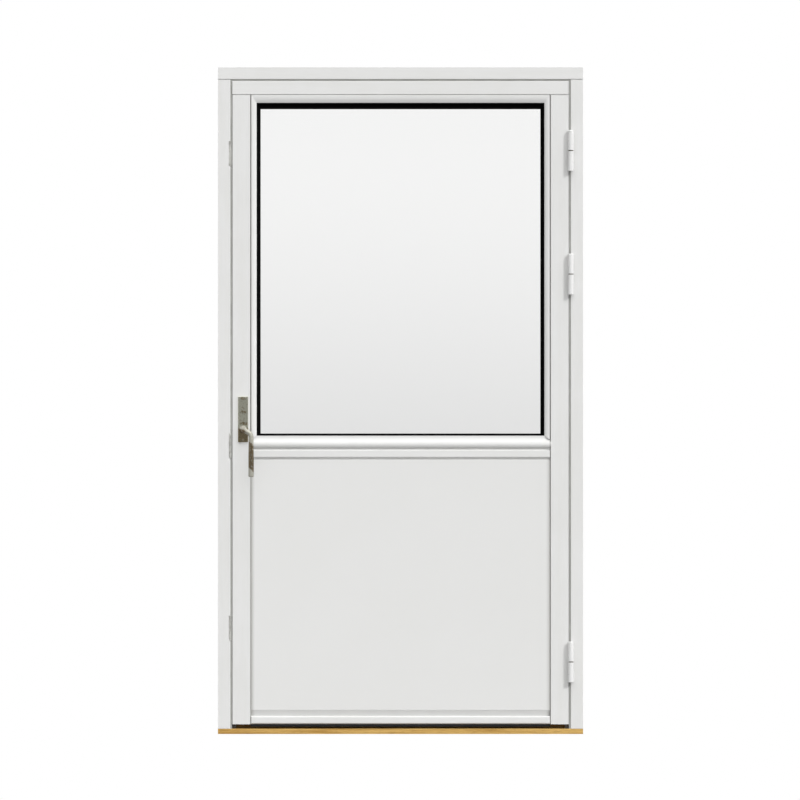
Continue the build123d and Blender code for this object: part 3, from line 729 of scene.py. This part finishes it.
def finish_piece(name, shape, body, material):
    """Makes an object of a finished mesh and lets it ride on a body."""
    bmesh.ops.recalc_face_normals(shape, faces=shape.faces)
    piece = from_shape(name, shape)
    piece.data.materials.append(material)
    piece.data.shade_smooth()
    piece.modifiers.new("edges", "EDGE_SPLIT").split_angle = sharp_angle
    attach(piece, body)
    print(name, "has", len(piece.data.polygons), "faces")
    return piece


print("edges sharper than", round(math.degrees(sharp_angle)), "degrees stay crisp")

# %% [markdown]
# The lever is one bar of metal: it comes straight out of its collar, turns to the right and
# down, turns again and ends in the grip. A ring of points that is extruded along the runs
# and spun round the two bends makes such a bar. The grip swells a little over its upper
# half, and its last rings shrink in a quarter circle, which rounds the tip. The collar is an
# outline that is spun round the axis of the spindle. In the photograph neither the lever nor
# its plate throws a shadow on the stile, though the hinges do, so theirs are left out too.

# %% Lever
grip_half_depth = 0.006
neck_share = 0.9
first_bend = 0.0135
second_bend = 0.016
first_bend_steps = 18
second_bend_steps = 14
section_points = 36
swell_steps = (0.15, 0.15, 0.2)
tip_round = 0.0035
tip_rings = 5
crank_drop = 0.014
clearance = 0.0001
plate_gap = 0.0005
collar_radius = 0.011
collar_height = 0.006
collar_rim_radius = 0.0102
collar_face_radius = 0.009
collar_steps = 40
hub_radius = 0.008
hub_depth = 0.0065

lever_low, lever_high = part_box("lever")
spindle_low, spindle_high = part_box("spindle")
plate_low, plate_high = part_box("handle_plate")
spindle_axis = (spindle_low + spindle_high) / 2
grip_y = lever_low.y + grip_half_depth + clearance
start = Vector((spindle_axis.x, plate_low.y - plate_gap, spindle_axis.z))
first_corner = Vector((spindle_axis.x, grip_y, spindle_axis.z))
second_corner = Vector((grip_axis_x, grip_y, spindle_axis.z - crank_drop))
slant = (second_corner - first_corner).normalized()
upright_turn = Vector((-slant.z, 0, slant.x))
down = Vector((0, 0, -1))
outwards = Vector((0, -1, 0))
turn_down = slant.angle(down)
run_in = second_bend * math.tan(turn_down / 2)

bar_shape = bmesh.new()
bmesh.ops.create_circle(bar_shape, cap_ends=True, segments=section_points, radius=1)
sides = (upright_turn * grip_half_width * neck_share, slant * grip_half_depth, outwards)
section = Matrix.Translation(start) @ Matrix(sides).transposed().to_4x4()
bmesh.ops.transform(bar_shape, verts=bar_shape.verts, matrix=section)
pick(bar_shape, bar_shape.verts)

grow(bar_shape, outwards * (start.y - grip_y - first_bend))
bend_centre = first_corner - outwards * first_bend + slant * first_bend
bend(bar_shape, bend_centre, upright_turn, math.pi / 2, first_bend_steps)
slant_run = (second_corner - first_corner).length - first_bend - run_in
grow(bar_shape, slant * slant_run)
inwards = (down - slant * down.dot(slant)).normalized()
bend_centre = second_corner - slant * run_in + inwards * second_bend
bend(bar_shape, bend_centre, -outwards, turn_down, second_bend_steps)

grip_length = second_corner.z - run_in - lever_low.z - tip_round
swell_part = sum(swell_steps)
for step in swell_steps:
    widen = 1 + (1 / neck_share - 1) * step / swell_part
    grow(bar_shape, down * grip_length * step, (widen, 1, 1))
grow(bar_shape, down * grip_length * (1 - swell_part))
half_width, half_depth = grip_half_width, grip_half_depth
for ring in range(1, tip_rings + 1):
    angle = math.pi / 2 * ring / tip_rings
    before = math.pi / 2 * (ring - 1) / tip_rings
    inset = tip_round * (1 - math.cos(angle))
    drop = tip_round * (math.sin(angle) - math.sin(before))
    widths = ((grip_half_width - inset) / half_width, (grip_half_depth - inset) / half_depth, 1)
    grow(bar_shape, down * drop, widths)
    half_width, half_depth = grip_half_width - inset, grip_half_depth - inset
bmesh.ops.contextual_create(bar_shape, geom=[e for e in bar_shape.edges if e.select])

collar_outline = [
    (0, collar_height),
    (collar_face_radius, collar_height),
    (collar_rim_radius, collar_height - 0.0004),
    (collar_radius, collar_height - 0.0015),
    (collar_radius, 2 * plate_gap),
    (collar_rim_radius, plate_gap),
    (collar_rim_radius, 0),
    (hub_radius, 0),
    (hub_radius, -hub_depth),
    (0, -hub_depth),
]
lathe(bar_shape, collar_outline, start, outwards, collar_steps)
lever = finish_piece("lever_bar", bar_shape, "handle", lever_nickel)
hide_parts("lever")
for part in (lever, nodes["handle_plate"]):
    part.visible_shadow = False
spans = list(zip(*(v.co for v in lever.data.vertices)))
new_low, new_high = [min(span) for span in spans], [max(span) for span in spans]
print("lever was", [round(c, 4) for c in (*lever_low, *lever_high)])
print("and is   ", [round(c, 4) for c in (*new_low, *new_high)])

# %% [markdown]
# A washer of bronze lies between the two halves of each hinge and carries the leaf. It is
# narrower than the barrels, and its bronze is made very dark as painted shade, so it shows
# as a dark line at the middle of the hinge.

# %% Hinge washers
knuckle_radius = 0.0085
washer_inner = 0.0056
washer_outer = 0.0072
washer_edge = 0.0002
washer_top = -0.0004
washer_foot = -0.0028
washer_outline = [
    (washer_inner, washer_top),
    (washer_outer - washer_edge, washer_top),
    (washer_outer, washer_top - washer_edge),
    (washer_outer, washer_foot + washer_edge),
    (washer_outer - washer_edge, washer_foot),
    (washer_inner, washer_foot),
]
# The bronze is very dark: painted shade of the split between the knuckles.
bronze = Finish("washer_bronze")
smear = bronze.noise(bronze.place(), scale=500.0, detail=2.0)
bronze.principled(
    base_color=bronze.mix(smear, colour(70, 64, 52), colour(104, 94, 74)),
    metallic=1.0,
    roughness=bronze.range(smear, 0.3, 0.7, 0.35, 0.5),
)
washers = bmesh.new()
splits = []
for place in hinge_places:
    pin_low, pin_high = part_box(f"{place}_hinge_pin_half")
    leaf_low, leaf_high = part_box(f"{place}_hinge_leaf_half")
    splits.append(leaf_low.z)
    middle = ((pin_low.x + pin_high.x) / 2, pin_low.y + knuckle_radius, leaf_low.z)
    lathe(washers, washer_outline, middle, (0, 0, 1))
finish_piece("hinge_washers", washers, "frame", bronze.material)

# %% [markdown]
# Screws hold the plate, the keeps, the lock rail and the hinges. A head is a low disc with
# a soft rim. Planes cut the lines of its cross recess into it, and the faces between those
# lines are pushed in. Each head is turned a little further than the last, as screws are.

# %% Screw heads
head_points = 28
first_turn = 0.5
next_turn = 0.9


def screw_heads(name, body, radius, places, facing, material, slot):
    """Screw heads at these places that face one way."""
    rise = radius * 0.18
    half_arm = radius * 0.11
    arm_end = radius * 0.5
    recess = rise * 0.9
    turned = Vector(facing).to_track_quat("Z", "Y").to_matrix().to_4x4()
    made = bmesh.new()
    for number, place in enumerate(places):
        head = bmesh.new()
        bmesh.ops.create_circle(head, cap_ends=True, segments=head_points, radius=radius)
        top = bmesh.ops.extrude_face_region(head, geom=head.faces[:])
        bmesh.ops.translate(head, verts=points_of(top["geom"]), vec=(0, 0, rise))
        rim = [e for e in head.edges if all(v.co.z > rise / 2 for v in e.verts)]
        bmesh.ops.bevel(
            head,
            geom=rim,
            offset=rise * 0.8,
            segments=3,
            profile=0.5,
            affect="EDGES",
            material=-1,
        )
        for axis in ((1, 0, 0), (0, 1, 0)):
            for reach in (-arm_end, -half_arm, half_arm, arm_end):
                everything = head.verts[:] + head.edges[:] + head.faces[:]
                bmesh.ops.bisect_plane(
                    head, geom=everything, plane_co=Vector(axis) * reach, plane_no=axis
                )
        cross = []
        for face in head.faces:
            middle = face.calc_center_median()
            near, far = sorted((abs(middle.x), abs(middle.y)))
            if middle.z > recess and near < half_arm and far < arm_end:
                cross.append(face)
        sunk = bmesh.ops.extrude_face_region(head, geom=cross)
        bmesh.ops.delete(head, geom=cross, context="FACES_ONLY")
        bmesh.ops.translate(head, verts=points_of(sunk["geom"]), vec=(0, 0, -recess))
        driven = Matrix.Rotation(first_turn + next_turn * number, 4, "Z")
        placed = Matrix.Translation(place) @ turned @ driven
        bmesh.ops.transform(head, verts=head.verts, matrix=placed)
        part = bpy.data.meshes.new("screw")
        head.to_mesh(part)
        head.free()
        made.from_mesh(part)
        bpy.data.meshes.remove(part)
    return finish_piece(name, made, body, material)


worn = Finish("screw_nickel")
rubbed = worn.noise(worn.place(), scale=420.0, detail=2.0)
worn.principled(
    base_color=worn.mix(rubbed, colour(132, 120, 96), colour(182, 176, 158)),
    metallic=1.0,
    roughness=worn.range(rubbed, 0.3, 0.7, 0.32, 0.48),
)

plate_screw = 0.0034
plate_screw_inset = 0.007
plate_x = (plate_low.x + plate_high.x) / 2
ends = (plate_high.z - plate_screw_inset, plate_low.z + plate_screw_inset)
places = [(plate_x, plate_low.y, z) for z in ends]
nickel_look = (worn.material, "handle_nickel")
zinc_look = (zinc.material, "zinc_steel")
screw_heads("plate_screws", "leaf", plate_screw, places, outwards, *nickel_look)

keep_screw = 0.0036
keep_screw_inset = 0.0075
rail_screw_inset = 0.012
rail_screw_gap = 0.012
rail_low, rail_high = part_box("lock_rail")
rail_y = (rail_low.y + rail_high.y) / 2
rail_heights = [rail_low.z + rail_screw_inset, rail_high.z - rail_screw_inset]
keep_places = []
for place in hinge_places:
    keep_low, keep_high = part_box(f"{place}_keep")
    for z in (keep_low.z + keep_screw_inset, keep_high.z - keep_screw_inset):
        keep_places.append((keep_high.x, rail_y, z))
    rail_heights += [keep_low.z - rail_screw_gap, keep_high.z + rail_screw_gap]
rail_places = [(rail_low.x, rail_y, z) for z in rail_heights]
left, right = Vector((-1, 0, 0)), Vector((1, 0, 0))
screw_heads("keep_screws", "frame", keep_screw, keep_places, right, *zinc_look)
screw_heads("rail_screws", "leaf", keep_screw, rail_places, left, *zinc_look)

flap_screw = 0.0038
flap_pattern = ((-0.038, 0.051), (-0.027, 0.031), (-0.038, 0.011))
hinge_gap = 0.003
rebate_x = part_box("draught_strip")[1].x
leaf_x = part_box("hinge_stile")[1].x
jamb_places = []
leaf_places = []
for split in splits:
    for y, away in flap_pattern:  # how deep in the rebate, and how far from the split
        jamb_places.append((rebate_x, y, split - hinge_gap - away))
        leaf_places.append((leaf_x, y, split + away))
screw_heads("jamb_flap_screws", "frame", flap_screw, jamb_places, left, *zinc_look)
screw_heads("leaf_flap_screws", "leaf", flap_screw, leaf_places, right, *zinc_look)

# %% [markdown]
# The frame is fixed through four holes in each jamb. An adjusting sleeve sits in each hole,
# a little below the surface, and the head of the screw lies deep inside it. They show only
# when the leaf is open.

# %% Frame screws and their sleeves
sleeve_heights = (0.120, 0.6968, 1.2737, 1.8505)
sleeve_y = -0.008
bore = 0.0046
sleeve_radius = 0.0068
sleeve_edge = 0.0006
sleeve_sunk = 0.003
sleeve_end = 0.020
screw_radius = 0.0045
screw_edge = 0.0007
screw_sunk = 0.012
screw_end = 0.018
sleeve_outline = [
    (bore, sleeve_sunk),
    (sleeve_radius - sleeve_edge, sleeve_sunk),
    (sleeve_radius, sleeve_sunk + sleeve_edge),
    (sleeve_radius, sleeve_end),
    (bore, sleeve_end),
]
screw_outline = [
    (0, screw_sunk),
    (screw_radius - screw_edge, screw_sunk),
    (screw_radius, screw_sunk + 0.001),
    (screw_radius, screw_end),
    (0, screw_end),
]
sleeves = bmesh.new()
for outer in (left, right):
    for z in sleeve_heights:
        mouth = Vector((outer.x * rebate_x, sleeve_y, z))
        for outline in (sleeve_outline, screw_outline):
            lathe(sleeves, outline, mouth, outer)
finish_piece("frame_screw_sleeves", sleeves, "frame", zinc.material)
